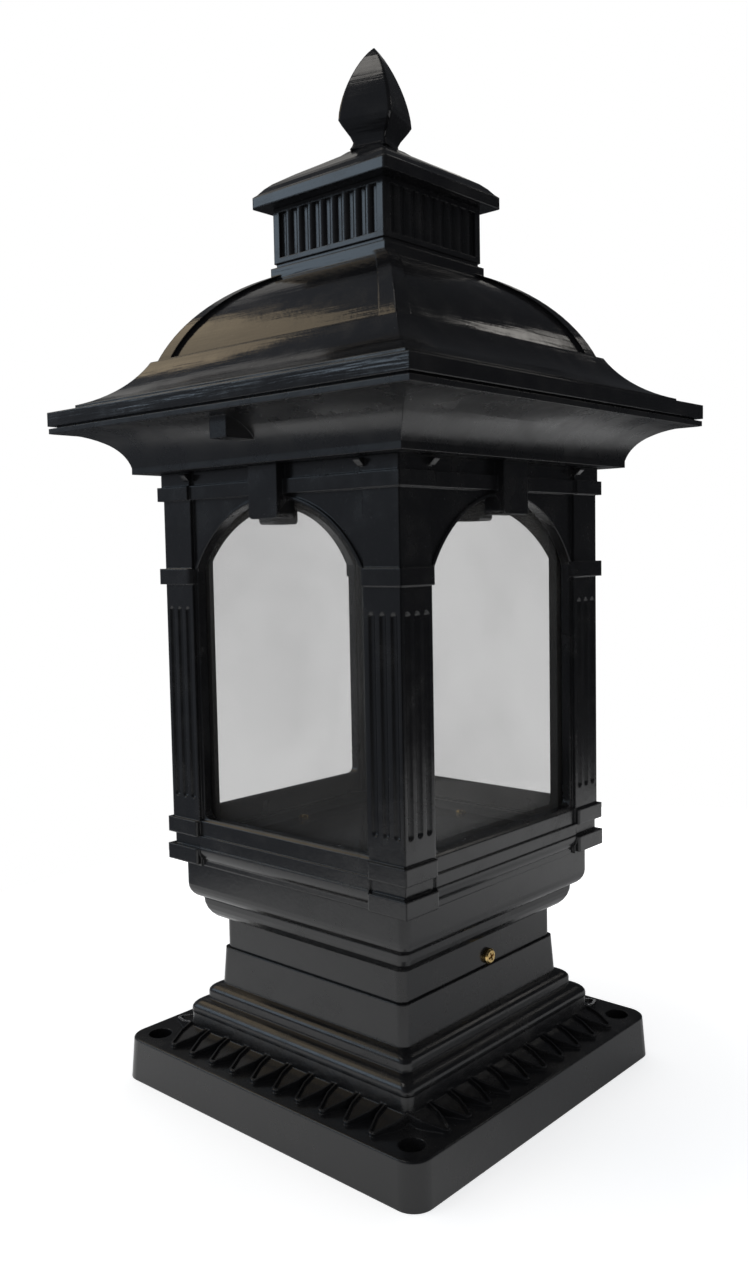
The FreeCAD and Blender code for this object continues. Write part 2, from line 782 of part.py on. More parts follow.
# ================================================================ floor plate
floor_half = pane_back - gasket_wall - slip
floor_plate = block(floor_half, 2.0, z_floor, z_floor_top)
floor_plate = floor_plate.cut(cylinder(wireway_r + 0.1, z_deck, z_floor_top + 1,
                                       -wireway_at, wireway_at))
floor_screw = pan_screw(m3_r - running, m3_head_r, m3_head, floor_plate_thick + flange_thick + 5, 0.9)
floor_screws = []
for turns in range(4):
    x, y = quarter_turned(0, -floor_screw_at, turns)
    floor_plate = floor_plate.cut(cylinder(m3_r + running, z_deck, z_floor_top + 1, x, y))
    copy = floor_screw.copy()
    copy.rotate(CENTRE, AXIS, 25 + 40 * turns)
    copy.translate(V(x, y, z_floor_top))
    floor_screws.append(copy)
nodes["floor_plate"] = floor_plate
nodes["floor_screws"] = Part.makeCompound(floor_screws)

neck_screws = []
for place, out in neck_places:
    screw = pan_screw(m4_r - running, m4_head_r, m4_head, neck_screw_length, 1.3)
    screw.rotate(CENTRE, AXIS, 20)
    screw.rotate(CENTRE, V(0, 1, 0), 90 if out.x > 0 else -90)
    screw.translate(place)
    neck_screws.append(screw)
nodes["neck_screws"] = Part.makeCompound(neck_screws)

# ================================================================ eaves ring
z_lip = z_eaves - eaves_lip
cove_width = eaves_half - 1.6 - cove_foot_half + 0.3
cove_rise = z_lip - z_frame_top - 0.7
cove_t = eaves_half - 1.6
cove_z = z_frame_top + 0.4


def cove_point(angle, grown):
    a = math.radians(angle)
    return (cove_t - (cove_width + grown) * math.cos(a), cove_z + (cove_rise + grown) * math.sin(a))


def cove_arcs(first, grown):
    span = (90 - first) / 4
    p = [cove_point(first + span * i, grown) for i in range(5)]
    return [p[0], p[2] + (p[1],), p[4] + (p[3],)]


foot_angle = math.degrees(math.asin((cove_foot - 0.4) / cove_rise))
ring_outer = mitred([(0, z_frame_top), (cove_foot_half, z_frame_top)]
                    + cove_arcs(foot_angle, 0)
                    + [(eaves_half, z_lip), (eaves_half, z_eaves),
                       (fascia_half - fascia_wall - slip, z_eaves),
                       (fascia_half - fascia_wall - slip, z_eaves + upstand_rise),
                       (0, z_eaves + upstand_rise)])
upstand_inner = fascia_half - fascia_wall - slip - upstand_wall
z_flange = z_frame_top + cove_wall
flange_angle = math.degrees(math.asin((cove_wall - 0.4) / (cove_rise + cove_wall)))
stop_angle = math.degrees(math.acos((cove_t - upstand_inner) / (cove_width + cove_wall)))
span = (stop_angle - flange_angle) / 4
inner_arc = [cove_point(flange_angle + span * i, cove_wall) for i in range(5)]
ring_hollow = mitred([(0, z_flange), inner_arc[0], inner_arc[2] + (inner_arc[1],),
                      inner_arc[4] + (inner_arc[3],), (upstand_inner, z_eaves + upstand_rise + 1),
                      (0, z_eaves + upstand_rise + 1)])
lug = box(lug_offset - lug_width / 2, lug_offset + lug_width / 2,
          -(eaves_half - lug_front), -(eaves_half - lug_back), z_eaves - lug_drop, z_lip)
through = block(ring_opening_half, 2.0, z_frame_top - 1, z_flange + 1)
diamond = Part.makeBox(ring_web * math.sqrt(2), ring_web * math.sqrt(2), cove_wall + 4,
                       V(-ring_web * math.sqrt(0.5), -ring_web * math.sqrt(0.5), z_frame_top - 2))
diamond.rotate(CENTRE, AXIS, 45)
ring = ring_outer.fuse(lug).cut(ring_hollow).cut(through.common(diamond))
ring = ring.cut(cylinder(wireway_r + 0.1, z_frame_top - 1, z_flange + 1, -wireway_at, wireway_at))
ring_screws = []
for turns in range(4):
    x, y = quarter_turned(0, -ring_screw_at, turns)
    ring = ring.cut(cylinder(m4_r + running, z_frame_top - 1, z_flange + 1, x, y))
    raised = strap_thick if turns % 2 else 0.0
    screw = pan_screw(m4_r - running, m4_head_r, m4_head, cove_wall + raised + 14, 1.3)
    screw.rotate(CENTRE, AXIS, 30 * turns)
    screw.translate(V(x, y, z_flange + raised))
    ring_screws.append(screw)
nodes["eaves_ring"] = ring.removeSplitter()
nodes["ring_screws"] = Part.makeCompound(ring_screws)

# ================================================================ roof shell
z_flare = z_ledge + ledge_rise + roof_step
flare_foot = (flare_foot_half, z_flare)
flare_head = (flare_head_half, z_dome)
dome_foot = (dome_foot_half, z_dome + 0.2)
dome_head = (collar_half, z_collar)
roof_outer = mitred([
    (0, z_fascia), (fascia_half, z_fascia), (fascia_half, z_ledge),
    (fascia_half - ledge_width, z_ledge + ledge_rise), (flare_foot_half, z_ledge + ledge_rise + 0.4),
    flare_foot, flare_head + (sagged(flare_foot, flare_head, -flare_sag),),
    dome_foot, dome_head + (sagged(dome_foot, dome_head, dome_sag),),
    (collar_half, z_roof_top), (0, z_roof_top)])

# The dome's circle: centre and radius from its two ends and its sag.
chord = math.hypot(dome_foot[0] - dome_head[0], dome_head[1] - dome_foot[1])
dome_r = (chord ** 2 / 4 + dome_sag ** 2) / (2 * dome_sag)
dome_bow = sagged(dome_foot, dome_head, dome_sag)
dome_mid = ((dome_foot[0] + dome_head[0]) / 2, (dome_foot[1] + dome_head[1]) / 2)
dome_out = ((dome_bow[0] - dome_mid[0]) / dome_sag, (dome_bow[1] - dome_mid[1]) / dome_sag)
dome_t = dome_bow[0] - dome_out[0] * dome_r
dome_z = dome_bow[1] - dome_out[1] * dome_r


def dome_at(z, sunk):
    """Half width of the dome at height z, sunk below its hips."""
    return dome_t + math.sqrt((dome_r - sunk) ** 2 - (z - dome_z) ** 2)


panel_low = dome_foot[1] + panel_foot
panel_top = dome_z + math.sqrt((dome_r - panel_depth) ** 2 - (collar_half - dome_t) ** 2)
panel_mid = (panel_low + panel_top) / 2
far = fascia_half
cutter_side = extruded_u([(dome_at(panel_low, panel_depth), panel_low), (far, panel_low),
                          (far, panel_top + 4), (collar_half, panel_top + 4), (collar_half, panel_top),
                          (dome_at(panel_low, panel_depth), panel_low,
                           (dome_at(panel_mid, panel_depth), panel_mid))], -far, far)


def hip_edge(z):
    share = (z - panel_low) / (panel_top - panel_low)
    return dome_at(z, 0) - hip_band_foot - (hip_band_head - hip_band_foot) * share


panel_end = (hip_edge(z_collar), z_collar)
cutter_front = extruded_t([(-hip_edge(panel_low), panel_low), (hip_edge(panel_low), panel_low),
                           panel_end + ((hip_edge(panel_mid), panel_mid),),
                           (panel_end[0], panel_top + 4), (-panel_end[0], panel_top + 4),
                           (-panel_end[0], panel_end[1]),
                           (-hip_edge(panel_low), panel_low, (-hip_edge(panel_mid), panel_mid))],
                          0, far)
panel_cutter = cutter_side.common(cutter_front)

shelf_z = z_eaves + upstand_rise
inner_foot = (flare_foot_half - 2.5, z_flare - roof_wall - 0.6)
inner_head = (flare_head_half - 3.7, z_dome - 3.1)
inner_low_z = z_dome - 1.3
inner_top_z = z_collar - 2.2
inner_mid_z = (inner_low_z + inner_top_z) / 2
roof_hollow = mitred([
    (0, z_fascia - 1), (fascia_half - fascia_wall, z_fascia - 1),
    (fascia_half - fascia_wall, shelf_z), (upstand_inner - 1.5, shelf_z), inner_foot,
    inner_head + (sagged(inner_foot, inner_head, -flare_sag),),
    (dome_at(inner_low_z, roof_wall), inner_low_z),
    (dome_at(inner_top_z, roof_wall), inner_top_z, (dome_at(inner_mid_z, roof_wall), inner_mid_z)),
    (0, inner_top_z)])
cupola_inner = cupola_half - cupola_wall
roof_boss = block(cupola_inner - slip, 1.0, z_roof_top - 1, z_roof_top + roof_boss_rise)
roof = roof_outer.cut(roof_hollow)
for cutter in on_four_sides(panel_cutter):
    roof = roof.cut(cutter)
roof = roof.fuse(roof_boss).cut(cylinder(thread_r + bore_slip, inner_top_z - 1, z_tip))
nodes["roof_shell"] = roof.removeSplitter()

# ================================================================ cupola and cap
cupola = stack([(cupola_foot_half, z_roof_top), (cupola_foot_half, z_cupola_foot - 0.5),
                (cupola_half, z_cupola_foot), (cupola_half, z_cupola_top)], cupola_corner)
field = slab(-field_half, field_half, cupola_half - rib_depth, cupola_half + 1,
             z_cupola_foot + field_margin, z_cupola_top - field_margin)
rib_r = (rib_half ** 2 + rib_depth ** 2) / (2 * rib_depth)
ribs = []
for i in range(rib_count):
    u = (i - (rib_count - 1) / 2) * rib_pitch
    rib = cylinder(rib_r, z_cupola_foot + 1, z_cupola_top - 1, u, -(cupola_half - rib_r))
    ribs.append(rib.common(slab(u - rib_half, u + rib_half, cupola_half - rib_depth - 0.5,
                                cupola_half, z_cupola_foot, z_cupola_top)))
for turns in range(4):
    cupola = cupola.cut(turned(field, turns))
cupola = fused([cupola] + [turned(rib, turns) for turns in range(4) for rib in ribs])
cupola = cupola.cut(block(cupola_inner, 1.0, z_roof_top - 1, z_cupola_top - cupola_top_thick))
cupola = cupola.cut(cylinder(thread_r + bore_slip, z_roof_top, z_tip))
nodes["cupola_box"] = cupola.removeSplitter()

# The slope as shares of its width and rise: rounded edge, long slope, flared seat.
cap_slope = ((0.045, 0.055), (0.12, 0.187), (0.206, 0.298), (0.45, 0.52), (0.715, 0.736),
             (0.822, 0.826), (0.925, 0.911), (1.0, 1.0))
cap_levels = [(cap_half, z_cupola_top), (cap_half, z_cap_band)]
cap_levels += [(cap_half - (cap_half - cap_seat_half) * w, z_cap_band + cap_rise * h)
               for w, h in cap_slope]
cap = stack(cap_levels, cap_corner)
cap = cap.cut(block(cap_hollow_half, 2.0, z_cupola_top - 1, z_cupola_top + cap_hollow))
cap = cap.cut(cylinder(thread_r + bore_slip, z_cupola_top, z_tip))
nodes["cupola_cap"] = cap.removeSplitter()

# ================================================================ finial
z_tube_top = z_cap_top + thread_engaged
z_waist = z_cap_top + finial_waist_z
z_bulge = z_cap_top + finial_bulge_z
finial_levels = [(finial_foot_half, z_cap_top), (finial_foot_half, z_cap_top + finial_foot_edge)]
finial_levels += [(finial_waist_half + (finial_foot_half - finial_waist_half) * (1 - k) ** 2,
                   z_cap_top + finial_foot_edge + (finial_waist_z - finial_foot_edge) * k)
                  for k in (0.35, 0.7, 1.0)]
# From the waist the underside swells out to a sharp arris, then the bud closes over.
finial_levels += [(finial_waist_half + (finial_bulge_half - finial_waist_half) * k ** 1.5 * (1.7 - 0.7 * k),
                   z_waist + (z_bulge - z_waist) * k) for k in (0.25, 0.5, 0.75, 1.0)]
finial_levels += [(max(finial_bulge_half * (1 - k ** 1.6) ** 0.8, 0.3), z_bulge + (z_tip - z_bulge) * k)
                  for k in (0.1, 0.2, 0.3, 0.4, 0.5, 0.6, 0.7, 0.79, 0.87, 0.94, 1.0)]
finial_wires = [rounded_square(half, half * 0.12, z) for half, z in finial_levels]
finial = Part.makeLoft(finial_wires, True, True)
finial = finial.cut(cylinder(thread_r + running, z_cap_top - 1, z_tube_top + 1.0))
finial = finial.cut(cylinder(washer_r + slip, z_cap_top - 1, z_cap_top + finial_sink))
finial.rotate(CENTRE, AXIS, finial_turned)
nodes["finial"] = finial.removeSplitter()
washer = cylinder(washer_r, z_cap_top, z_cap_top + washer_thick)
nodes["finial_washer"] = washer.cut(cylinder(thread_r + bore_slip, z_cap_top - 1, z_tip))

# ================================================================ lamp support
z_strap = z_frame_top + strap_top
z_holder_top = z_strap - nut_thick - 0.9
z_core = z_holder_top - holder_cap_height
z_skirt = z_core - holder_skirt_height
tube = cylinder(thread_r, z_holder_top - 5, z_tube_top)
nodes["lamp_tube"] = tube.cut(cylinder(tie_bore_r, z_holder_top - 6, z_tube_top + 1))
nuts = [hexagon(nut_r, z_strap - 0.3 - nut_thick, z_strap - 0.3),
        hexagon(nut_r, z_strap + strap_thick, z_strap + strap_thick + nut_thick)]
for nut in nuts:
    nut_bore = cylinder(thread_r + running, z_strap - 20, z_strap + 20)
nodes["lamp_tube_nuts"] = Part.makeCompound([nut.cut(nut_bore) for nut in nuts])

leg = math.hypot(strap_foot_in - strap_flat_half, z_strap - z_flange)
sx = strap_thick * (z_strap - z_flange) / leg
sz = strap_thick * (strap_foot_in - strap_flat_half) / leg
strap_path = [(0, z_strap), (strap_flat_half - sx * 0.2, z_strap),
              (strap_foot_in - sx, z_flange + sz * 0.2), (strap_foot_in - sx * 0.6, z_flange),
              (strap_foot_out, z_flange), (strap_foot_out, z_flange + strap_thick),
              (strap_foot_in + sx * 0.3, z_flange + strap_thick),
              (strap_flat_half + sx * 0.6, z_strap + strap_thick), (0, z_strap + strap_thick)]
strap_face = closed_face(symmetric(strap_path), lambda t, z: V(t, -strap_width / 2, z))
strap = strap_face.extrude(V(0, strap_width, 0))
strap = strap.cut(cylinder(thread_r + running, z_strap - 5, z_strap + 10))
strap = strap.cut(cylinder(m4_r, z_strap - 5, z_strap + 10, -earth_screw_at, 0))
for sign in (-1, 1):
    strap = strap.cut(cylinder(m4_r + running, z_flange - 1, z_flange + 10, sign * ring_screw_at, 0))
nodes["lamp_bracket"] = strap.removeSplitter()
z_earth = z_strap + strap_thick
earth_screw = pan_screw(m4_r - running, m4_head_r, m4_head, strap_thick + 2 * wire_r + 4, 1.3)
earth_screw.translate(V(-earth_screw_at, 0, z_earth + 2 * wire_r + 0.1))
nodes["earth_screw"] = earth_screw

# ================================================================ lampholder
holder_inner = holder_r - holder_wall
cap_side = holder_cap_height - 6
holder_cap = cylinder(holder_r, z_core, z_core + cap_side)
holder_cap = holder_cap.fuse(Part.makeCone(holder_r, holder_neck_r, 6, V(0, 0, z_core + cap_side)))
hollow = cylinder(holder_inner, z_core - 1, z_core + cap_side - 0.5)
hollow = hollow.fuse(Part.makeCone(holder_inner, holder_neck_r - 1, 4,
                                   V(0, 0, z_core + cap_side - 0.5)))
holder_cap = holder_cap.cut(hollow).cut(cylinder(thread_r + running, z_core, z_tip))
z_terminal = z_core + core_top_height
entry = box(0, holder_r + 5, -7, 7, z_terminal - 0.5, z_terminal + 6.5)
entry.rotate(CENTRE, AXIS, 135)
nodes["lampholder_cap"] = holder_cap.cut(entry).removeSplitter()
skirt = cylinder(holder_r, z_skirt, z_core).cut(cylinder(holder_inner, z_skirt - 1, z_core + 1))
nodes["lampholder_skirt"] = skirt
z_core_low = z_core - core_height
core = cylinder(holder_inner - 0.1, z_core - 4, z_core)
core = fused([core, cylinder(core_r, z_core_low, z_core), cylinder(core_top_r, z_core, z_terminal)])
core = core.cut(cylinder(shell_r + 0.1, z_core_low - 1, z_core_low + 6))
nodes["lampholder_core"] = core
shell_top = z_core_low + 5.9
shell = cylinder(shell_r, shell_top - shell_height, shell_top)
shell = shell.cut(cylinder(shell_r - shell_wall, shell_top - shell_height - 1, shell_top - 1))
shell = shell.cut(cylinder(3.2, shell_top - 2, shell_top + 1))
nodes["lampholder_shell"] = shell
contact = cylinder(2.8, shell_top - 3.5, z_core_low + 6)
terminals = []
for sign in (-1, 1):
    end = terminal_size
    terminal = box(4.0, 4.0 + end, sign * terminal_apart - 2.5, sign * terminal_apart + 2.5,
                   z_terminal, z_terminal + end)
    terminal.rotate(CENTRE, AXIS, 135)
    terminals.append(terminal)
nodes["lampholder_contacts"] = Part.makeCompound([contact] + terminals)

# ================================================================ wireway and wiring
z_way_low = z_deck - wireway_foot
z_way_top = z_flange + wireway_top - cove_wall
way = cylinder(wireway_r, z_way_low, z_way_top, -wireway_at, wireway_at)
way = way.fuse(cylinder(wireway_collar_r, z_floor_top, z_floor_top + wireway_collar,
                        -wireway_at, wireway_at))
way = way.cut(cylinder(wireway_bore, z_way_low - 1, z_way_top + 1, -wireway_at, wireway_at))
nodes["wireway_tube"] = way.removeSplitter()
way_nut = hexagon(wireway_collar_r, z_deck - deck_thick - 4, z_deck - deck_thick,
                  -wireway_at, wireway_at)
nodes["wireway_nut"] = way_nut.cut(cylinder(wireway_r + running, z_way_low - 1, z_deck,
                                            -wireway_at, wireway_at))
bush = cylinder(wireway_r + bush_thick + 0.1, z_way_top - bush_height / 2, z_way_top + bush_height / 2,
                -wireway_at, wireway_at)
bush = bush.cut(cylinder(wireway_r + 0.1, z_way_top - bush_height, z_way_top, -wireway_at, wireway_at))
bush = bush.cut(cylinder(wireway_bore, z_way_top - 1, z_way_top + bush_height, -wireway_at, wireway_at))
nodes["wire_bush"] = bush

z_wire_in = z_bridge + block_height * 0.5
block_side = block_width / 2


def at(s, side, z):
    """Point at distance s towards the wireway corner, side along the other diagonal."""
    p = diagonal * s + lateral * side
    return (p.x, p.y, z)


way_s = wireway_at * math.sqrt(2)
z_lead = z_terminal + terminal_size / 2
strap_z = z_strap + strap_thick + wire_r + 0.05
earth_y = m4_r + wire_r + 0.1
wires = {}
for name, lane, pole in (("wire_live", -1, -1), ("wire_neutral", 0, 0), ("wire_earth", 1, 1)):
    side = lane * wire_spread
    reach = way_s - block_side
    lift = z_way_low - z_wire_in
    wires[name] = [at(block_side + 0.1, pole * block_pitch, z_wire_in),
                   at(block_side + reach * 0.28, pole * block_pitch * 0.8, z_wire_in + 1.5),
                   at(block_side + reach * 0.70, side * 1.6, z_wire_in + lift * 0.60),
                   at(way_s, side, z_wire_in + lift * 0.78),
                   at(way_s, side, (z_deck + z_frame_top) / 2)]
wires["wire_live"] += [at(way_s, -wire_spread, z_way_top + 24), at(50, -wire_spread, z_lead + 1),
                       at(26, -terminal_apart, z_lead), at(4.1 + terminal_size, -terminal_apart, z_lead)]
wires["wire_neutral"] += [at(way_s, 0, z_way_top + 24), at(50, 1.2, z_lead + 1),
                          at(26, terminal_apart, z_lead), at(4.1 + terminal_size, terminal_apart, z_lead)]
wires["wire_earth"] += [at(way_s, wire_spread, z_way_top + 36), (-50, 32, z_earth + 6),
                        (-36, earth_y, z_earth + 4), (-earth_screw_at - 8, earth_y, strap_z),
                        (-earth_screw_at + 3.5, earth_y, strap_z)]
for name, points in wires.items():
    # The long straight stretch in the wireway is one run.
    straight = [p for i, p in enumerate(points) if i != 4]
    nodes[name] = routed(straight, wire_r)

terminal_block = box(-block_side, block_side, -block_length / 2, block_length / 2,
                     z_bridge, z_bridge + block_height)
for pole in (-1, 0, 1):
    bore = along(block_bore + running, V(-block_side - 1, pole * block_pitch, z_wire_in),
                 V(1, 0, 0), block_width + 2)
    terminal_block = terminal_block.cut(bore)
terminal_block.rotate(CENTRE, AXIS, 135)
for place in block_screw_places:
    terminal_block = terminal_block.cut(cylinder(m3_r + running, z_bridge - 1,
                                                 z_bridge + block_height + 1, place.x, place.y))
nodes["terminal_block"] = terminal_block
inserts = []
for pole in (-1, 0, 1):
    insert = along(block_bore, V(-block_side, pole * block_pitch, z_wire_in), V(1, 0, 0), block_width)
    insert.rotate(CENTRE, AXIS, 135)
    inserts.append(insert)
nodes["terminal_inserts"] = Part.makeCompound(inserts)
block_screws = []
for place in block_screw_places:
    screw = pan_screw(m3_r - running, m3_head_r, m3_head, block_height + bridge_thick + 2, 0.9)
    screw.translate(V(place.x, place.y, z_bridge + block_height))
    block_screws.append(screw)
nodes["block_screws"] = Part.makeCompound(block_screws)

os.makedirs("parts", exist_ok=True)
for name, shape in nodes.items():
    shape.exportStep("parts/" + name + ".step")
    bounds = shape.BoundBox
    print("%-20s solids %d valid %s volume %.0f  x %.1f %.1f  y %.1f %.1f  z %.1f %.1f" % (
        name, len(shape.Solids), shape.isValid(), shape.Volume, bounds.XMin, bounds.XMax,
        bounds.YMin, bounds.YMax, bounds.ZMin, bounds.ZMax))
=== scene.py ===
# %% [markdown]
# # A cast post top lantern
# The lantern is a stack of black painted castings: a mounting base, a gallery, four
# mitred side frames with clear panes, a coved eaves ring, a swept roof, a ribbed
# cupola with its cap, and a finial that holds the roof down. Their true shapes come
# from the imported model. This file dresses that model: it gives each casting its
# paint, the panes their glass, the screws their brass, and sets a small studio.

# %% Load the frame
import math

import bpy
import numpy as np
from mathutils import Matrix, Vector

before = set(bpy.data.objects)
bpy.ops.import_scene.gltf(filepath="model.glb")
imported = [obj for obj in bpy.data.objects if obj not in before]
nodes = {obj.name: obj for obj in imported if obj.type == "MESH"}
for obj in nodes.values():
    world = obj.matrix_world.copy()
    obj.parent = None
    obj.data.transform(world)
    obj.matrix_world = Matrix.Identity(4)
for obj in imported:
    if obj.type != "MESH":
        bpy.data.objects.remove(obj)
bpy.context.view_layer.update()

# %% [markdown]
# ## The camera
# The photograph looks at the front corner from a little above the sill, close enough
# for strong perspective. A plain perspective camera does that: its place is a
# distance and an azimuth round the lantern's axis, and it is turned by a heading, a
# slight downward pitch and a degree of roll. No shift and no depth of field.

# %% Camera
camera_distance = 0.6065
camera_height = 0.2867
camera_azimuth = math.radians(41.30)
camera_heading = math.radians(41.83)
camera_pitch = math.radians(4.13)
camera_roll = math.radians(-1.05)
camera_lens = 31.79
camera_sensor = 36
camera_near = 0.02


def camera_axes(heading, pitch, roll):
    """Right, up and backward unit vectors: level heading, then pitched down, then rolled."""
    level = math.cos(pitch)
    ahead = Vector((-math.sin(heading) * level, math.cos(heading) * level, -math.sin(pitch)))
    right = ahead.cross(Vector((0, 0, 1))).normalized()
    up = right.cross(ahead)
    side = right * math.cos(roll) + up * math.sin(roll)
    return side, up * math.cos(roll) - right * math.sin(roll), -ahead


lens = bpy.data.cameras.new("camera")
lens.lens = camera_lens
lens.sensor_width = camera_sensor
lens.clip_start = camera_near
camera = bpy.data.objects.new("camera", lens)
bpy.context.scene.collection.objects.link(camera)
turn = Matrix(camera_axes(camera_heading, camera_pitch, camera_roll)).transposed()
place = Vector((math.sin(camera_azimuth), -math.cos(camera_azimuth), 0)) * camera_distance
place.z = camera_height
camera.matrix_world = Matrix.Translation(place) @ turn.to_4x4()
bpy.context.scene.camera = camera
bpy.context.scene.view_settings.view_transform = "Standard"
print("camera", [round(v, 4) for v in place])

# %% [markdown]
# ## Writing finishes as expressions
# A finish is a small network of shader nodes. Wiring it by hand hides the idea, so one
# small class wraps a socket: +, - and * on it add Math nodes. Nearly every other node
# comes from one method, which takes its type, its settings and the values of its inputs.


# %% Finish and field
bevel_samples = 6
mix_factor, mix_first, mix_second, mix_colour = 0, 6, 7, 2


class Field:
    """A number that varies over the surface. Arithmetic on it adds Math nodes."""

    def __init__(self, finish, socket):
        self.finish = finish
        self.socket = socket

    def math(self, operation, first, second):
        """Field of one Math node, first operation second."""
        return self.finish.node("Math", {"operation": operation}, {0: first, 1: second})

    def __add__(self, other):
        return self.math("ADD", self, other)

    __radd__ = __add__

    def __sub__(self, other):
        return self.math("SUBTRACT", self, other)

    def __rsub__(self, other):
        return self.math("SUBTRACT", other, self)

    def __mul__(self, other):
        return self.math("MULTIPLY", self, other)

    __rmul__ = __mul__


class Finish:
    """One material with a Principled shader, its node tree and its helpers."""

    def __init__(self, name, **constants):
        self.material = bpy.data.materials.new(name)
        self.material.use_nodes = True
        self.tree = self.material.node_tree
        self.tree.nodes.clear()
        self.output = self.tree.nodes.new("ShaderNodeOutputMaterial")
        self.shader = self.tree.nodes.new("ShaderNodeBsdfPrincipled")
        self.tree.links.new(self.shader.outputs[0], self.output.inputs["Surface"])
        for socket, value in constants.items():
            self.set(socket.replace("_", " ").title().replace("Ior", "IOR"), value)

    def put(self, socket, value):
        """Link a field to the socket, or set a colour or a number on it."""
        if isinstance(value, Field):
            self.tree.links.new(value.socket, socket)
        elif isinstance(value, tuple) and len(value) == 3 and socket.type == "RGBA":
            socket.default_value = value + (1.0,)
        else:
            socket.default_value = value

    def set(self, name, value):
        """The same for an input of the Principled shader."""
        self.put(self.shader.inputs[name], value)

    def node(self, kind, settings=None, inputs=None, out=0):
        """A new node: settings first, then inputs by name or place; one output comes back."""
        made = self.tree.nodes.new("ShaderNode" + kind)
        for setting, value in (settings or {}).items():
            setattr(made, setting, value)
        for key, value in (inputs or {}).items():
            self.put(made.inputs[key], value)
        return Field(self, made.outputs[out])

    def place(self):
        """Object coordinates, in metres in the lantern's own frame."""
        return self.node("TexCoord", out="Object")

    def noise(self, scale, detail=2.0, rough=0.5, distortion=0.0, stretch=None):
        """Noise of scale waves per metre; stretch multiplies the coordinates axis by axis."""
        where = self.place()
        if stretch:
            where = self.node("Mapping", {}, {"Vector": where, "Scale": stretch})
        return self.node("TexNoise", {}, {"Vector": where, "Scale": scale, "Detail": detail,
                                          "Roughness": rough, "Distortion": distortion})

    def between(self, field, low, high, to_low=0.0, to_high=1.0):
        """Field rescaled from low..high to to_low..to_high and held there."""
        return self.node("MapRange", {"interpolation_type": "SMOOTHSTEP"},
                         {"Value": field, "From Min": low, "From Max": high,
                          "To Min": to_low, "To Max": to_high})

    def blend(self, factor, first, second):
        """Colour that goes from first to second with factor.

        A Mix node has sockets for every data type, so its colours go by their places.
        """
        return self.node("Mix", {"data_type": "RGBA"},
                         {mix_factor: factor, mix_first: first, mix_second: second}, out=mix_colour)

    def bump(self, height, rounded):
        """Bump from a height field in metres, over edges shaded as if rounded to a radius."""
        base = self.node("Bevel", {"samples": bevel_samples}, {"Radius": rounded})
        self.set("Normal", self.node("Bump", {}, {"Height": height, "Distance": 1.0,
                                                  "Strength": 1.0, "Normal": base}))


def dress(finish, *names):
    """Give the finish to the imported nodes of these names."""
    for name in names:
        data = nodes[name].data
        data.materials.clear()
        data.materials.append(finish.material)
    print(finish.material.name, "on", len(names), "nodes")


# %% [markdown]
# ## Black gloss paint on castings
# The castings are sprayed gloss black. Up close the film has orange peel a few
# millimetres across, a little dust, and slow waves left by the mould that stretch the
# highlights into streaks. All of it is relief and roughness; the colour hardly varies.

# %% Black paint
paint_black = (0.0065, 0.0065, 0.0072)
paint_dust = (0.05, 0.047, 0.043)
wave_scale = 16.0
wear_scale = 55.0
peel_scale = 420.0
speck_scale = 900.0
grain_scale = 1150.0
drag_scale = (9.0, 9.0, 150.0)


def black_paint(name, roughness=0.2, peel=0.00004, wave=0.0005, grain=0.0, dust=0.10,
                edge=0.0007, drag=0.0):
    """Gloss black. Heights in metres: orange peel, slow wave, cast grain and level file marks.

    edge is the radius in metres that the shading gives to sharp edges.
    """
    finish = Finish(name, roughness=roughness, specular_ior_level=0.5)
    slow = finish.noise(wave_scale, 1.0)
    fine = finish.noise(peel_scale, 2.0)
    specks = finish.between(finish.noise(speck_scale, 3.0, 0.7), 0.66, 0.74)
    worn = finish.between(finish.noise(wear_scale, 4.0, 0.6), 0.42, 0.72)
    finish.set("Base Color", finish.blend(specks * 0.35 + worn * dust, paint_black, paint_dust))
    finish.set("Roughness", roughness + worn * 0.10 + specks * 0.15)
    height = fine * peel + slow * wave
    if grain:
        height = height + finish.noise(grain_scale, 2.5, 0.65) * grain
    if drag:
        height = height + finish.noise(1.0, 3.0, 0.6, 0.0, drag_scale) * drag
    finish.bump(height, edge)
    return finish


base_paint = black_paint("base_paint", roughness=0.2, peel=0.00003, edge=0.0010)
frame_paint = black_paint("frame_paint", roughness=0.2, peel=0.00004, wave=0.0004, edge=0.0011)
roof_paint = black_paint("roof_paint", roughness=0.13, peel=0.00004, wave=0.0009,
                         edge=0.0012, drag=0.0004)
eaves_paint = black_paint("eaves_paint", roughness=0.27, peel=0.00005, wave=0.0005)
cupola_paint = black_paint("cupola_paint", roughness=0.2, peel=0.00003, wave=0.0002, grain=0.00004)
floor_paint = black_paint("floor_plate_paint", roughness=0.1, peel=0.000002, wave=0.0002, dust=0.04)
dress(base_paint, "base_casting", "gallery_casting")
dress(frame_paint, "frame_front", "frame_right", "frame_back", "frame_left")
dress(roof_paint, "roof_shell", "cupola_cap", "finial")
dress(eaves_paint, "eaves_ring")
dress(cupola_paint, "cupola_box")
dress(floor_paint, "floor_plate")

# %% [markdown]
# ## Clear panes
# The panes are plain clear glass that has dulled a little. Two panes in a row turn a
# white background light grey. A refracting glass would do it too, but slower and with
# more noise. Alpha is enough: most light passes at each of a pane's two faces, and what
# stays shows a faint film and the reflections.

